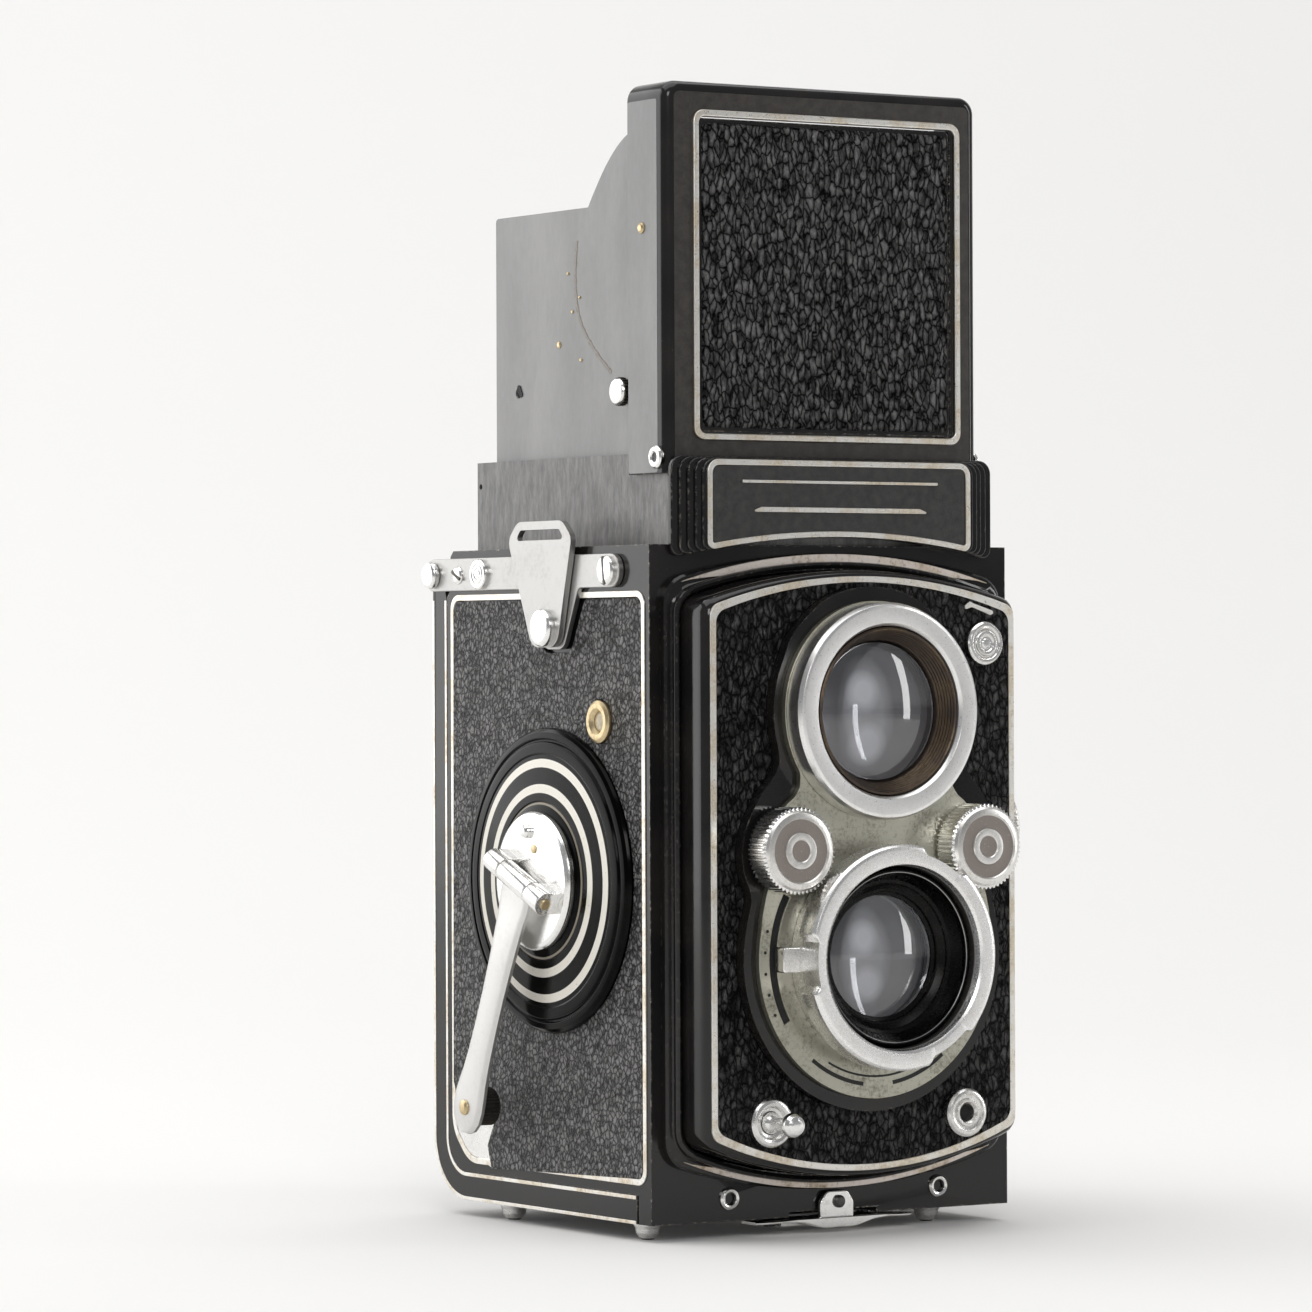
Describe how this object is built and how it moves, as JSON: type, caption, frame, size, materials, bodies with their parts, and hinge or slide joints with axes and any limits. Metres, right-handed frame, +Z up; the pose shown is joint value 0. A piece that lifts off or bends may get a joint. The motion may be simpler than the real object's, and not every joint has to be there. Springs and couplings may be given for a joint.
{
  "type": "twin lens reflex camera",
  "caption": "Upright box camera with two lenses one above the other on a sliding front board, a side winding crank, a hinged back and an open folding viewing hood.",
  "frame": {"origin": "centre of the bounding box footprint, on the plane of the feet", "axes": "+Z up; the lenses face -Y; the winding crank is on the -X side and the focusing knob on the +X side"},
  "size_m": [0.0938, 0.095, 0.1985],
  "materials": {
    "aged": "aged matt nickel plate",
    "brass": "nickel worn through to brass",
    "chrome": "bright chrome",
    "enamel": "gloss black baked enamel, worn to bare metal on edges",
    "film": "painted tinplate spool with backing paper",
    "glass": "polished optical glass",
    "grey": "satin black sheet that reflects light grey",
    "leather": "black pebble-grained covering",
    "mirror": "front-silvered mirror glass",
    "nickel": "nickel plate, slightly worn",
    "satin": "satin black paint",
    "steel": "plain turned steel"
  },
  "bodies": {
    "body": {"body_casting": "satin", "front_collar": "enamel", "side_covering_left": "leather", "side_covering_right": "leather", "strap_bracket_left": "nickel", "strap_bracket_right": "nickel", "strap_lug_left": "nickel", "strap_lug_right": "nickel", "counter_bezel": "brass", "hood_base": "grey", "name_plate": "enamel", "focusing_screen": "glass", "reflex_mirror": "mirror", "back_hinge_pin": "nickel"},
    "lens_stage": {"lens_board": "enamel", "lens_housing": "enamel", "board_covering": "leather", "face_plate": "aged", "viewing_ring": "nickel", "viewing_barrel": "satin", "viewing_glass_front": "glass", "viewing_glass_rear": "glass", "bayonet_ring": "nickel", "taking_barrel": "satin", "taking_glass_front": "glass", "taking_glass_rear": "glass", "shutter_drum": "satin", "iris_diaphragm": "steel", "release_collar": "nickel", "cable_socket": "nickel", "board_plug": "nickel"},
    "aperture_dial": {"aperture_wheel": "nickel"},
    "speed_dial": {"speed_wheel": "nickel"},
    "release": {"release_button": "chrome"},
    "focus_drive": {"focus_knob": "nickel", "focus_shaft": "steel"},
    "crank_base": {"crank_disc": "enamel", "crank_hub": "nickel", "crank_hinge_pin": "brass"},
    "crank_lever": {"crank_arm": "nickel"},
    "crank_grip": {"crank_handle": "steel"},
    "supply": {"supply_spool": "film"},
    "takeup": {"takeup_spool": "film"},
    "roller_lower": {"film_roller_lower": "steel"},
    "roller_upper": {"film_roller_upper": "steel"},
    "knob_lower": {"spool_knob_lower": "nickel"},
    "knob_upper": {"spool_knob_upper": "nickel"},
    "back": {"back_door": "enamel", "back_covering": "leather", "pressure_plate": "satin", "tripod_socket": "nickel"},
    "latch": {"back_latch": "chrome"},
    "lid": {"hood_lid": "enamel"},
    "flap": {"sports_flap": "enamel", "flap_covering": "leather"},
    "magnifier": {"magnifier_frame": "satin", "magnifier_lens": "glass"},
    "wall_left": {"hood_wall_left": "grey"},
    "wall_right": {"hood_wall_right": "grey"},
    "wall_rear": {"hood_wall_rear": "grey"}
  },
  "joints": [
    {"name": "focus_turn", "type": "hinge", "parent": "body", "child": "focus_drive", "pos_m": [-0.0005, -0.008, 0.069], "axis": [1, 0, 0], "range_deg": [0, 300]},
    {"name": "board_slide", "type": "slide", "parent": "body", "child": "lens_stage", "axis": [0, -1, 0], "range_m": [0, 0.0065]},
    {"name": "aperture_turn", "type": "hinge", "parent": "lens_stage", "child": "aperture_dial", "pos_m": [-0.02, -0.042, 0.0669], "axis": [0, -1, 0], "range_deg": [0, 120]},
    {"name": "speed_turn", "type": "hinge", "parent": "lens_stage", "child": "speed_dial", "pos_m": [0.019, -0.042, 0.0669], "axis": [0, -1, 0], "range_deg": [0, 150]},
    {"name": "release_press", "type": "slide", "parent": "lens_stage", "child": "release", "axis": [0, 1, 0], "range_m": [0, 0.0022]},
    {"name": "crank_spin", "type": "hinge", "parent": "body", "child": "crank_base", "pos_m": [-0.0385, 0.006, 0.0609], "axis": [1, 0, 0], "range_deg": [-150, 120]},
    {"name": "crank_fold", "type": "hinge", "parent": "crank_base", "child": "crank_lever", "pos_m": [-0.0449, 0.006, 0.0609], "axis": [0, 0.9169, 0.3991], "range_deg": [0, 175]},
    {"name": "grip_spin", "type": "hinge", "parent": "crank_lever", "child": "crank_grip", "pos_m": [-0.0449, 0.02356, 0.02056], "axis": [1, 0, 0], "continuous": true},
    {"name": "takeup_turn", "type": "hinge", "parent": "body", "child": "takeup", "pos_m": [-0.0005, 0.03, 0.0902], "axis": [1, 0, 0], "range_deg": [-226, 181]},
    {"name": "supply_turn", "type": "hinge", "parent": "body", "child": "supply", "pos_m": [-0.0005, -0.0073, 0.0197], "axis": [1, 0, 0], "range_deg": [-151, 121]},
    {"name": "roller_lower_turn", "type": "hinge", "parent": "body", "child": "roller_lower", "pos_m": [-0.0005, 0.0392, 0.0126], "axis": [1, 0, 0], "range_deg": [-656, 525]},
    {"name": "roller_upper_turn", "type": "hinge", "parent": "body", "child": "roller_upper", "pos_m": [-0.0005, 0.0392, 0.0797], "axis": [1, 0, 0], "range_deg": [-656, 525]},
    {"name": "knob_lower_pull", "type": "slide", "parent": "body", "child": "knob_lower", "axis": [1, 0, 0], "range_m": [0, 0.005]},
    {"name": "knob_upper_pull", "type": "slide", "parent": "body", "child": "knob_upper", "axis": [1, 0, 0], "range_m": [0, 0.005]},
    {"name": "back_open", "type": "hinge", "parent": "body", "child": "back", "pos_m": [-0.0005, 0.0446, 0.1147], "axis": [1, 0, 0], "range_deg": [0, 110]},
    {"name": "latch_turn", "type": "hinge", "parent": "back", "child": "latch", "pos_m": [-0.0005, -0.0202, 0.0017], "axis": [1, 0, 0], "range_deg": [0, 70]},
    {"name": "lid_close", "type": "hinge", "parent": "body", "child": "lid", "pos_m": [-0.0005, -0.0212, 0.134], "axis": [-1, 0, 0], "range_deg": [0, 90], "deforming": ["hood_wall_left", "hood_wall_right", "hood_wall_rear"]},
    {"name": "flap_tilt", "type": "hinge", "parent": "lid", "child": "flap", "pos_m": [-0.0005, -0.023, 0.1916], "axis": [-1, 0, 0], "range_deg": [-45, 0]},
    {"name": "magnifier_turn", "type": "hinge", "parent": "flap", "child": "magnifier", "pos_m": [-0.0005, -0.02185, 0.187], "axis": [-1, 0, 0], "range_deg": [-90, 0]},
    {"name": "wall_left_fold", "type": "hinge", "parent": "body", "child": "wall_left", "pos_m": [-0.0304, 0.008, 0.1325], "axis": [0, 1, 0], "range_deg": [0, 90]},
    {"name": "wall_right_fold", "type": "hinge", "parent": "body", "child": "wall_right", "pos_m": [0.0294, 0.008, 0.1313], "axis": [0, -1, 0], "range_deg": [0, 90]},
    {"name": "wall_rear_fold", "type": "hinge", "parent": "body", "child": "wall_rear", "pos_m": [-0.0005, 0.03655, 0.1301], "axis": [1, 0, 0], "range_deg": [0, 90]}
  ],
  "couplings": [
    {"joint": "focus_turn", "follows": "board_slide", "rad_per_m": 805.5},
    {"joint": "takeup_turn", "follows": "crank_spin", "ratio": 1.5},
    {"joint": "supply_turn", "follows": "crank_spin", "ratio": 1},
    {"joint": "roller_lower_turn", "follows": "crank_spin", "ratio": 4.36},
    {"joint": "roller_upper_turn", "follows": "crank_spin", "ratio": 4.36},
    {"joint": "wall_left_fold", "follows": "lid_close", "ratio": 1},
    {"joint": "wall_right_fold", "follows": "lid_close", "ratio": 1},
    {"joint": "wall_rear_fold", "follows": "lid_close", "ratio": 1}
  ]
}
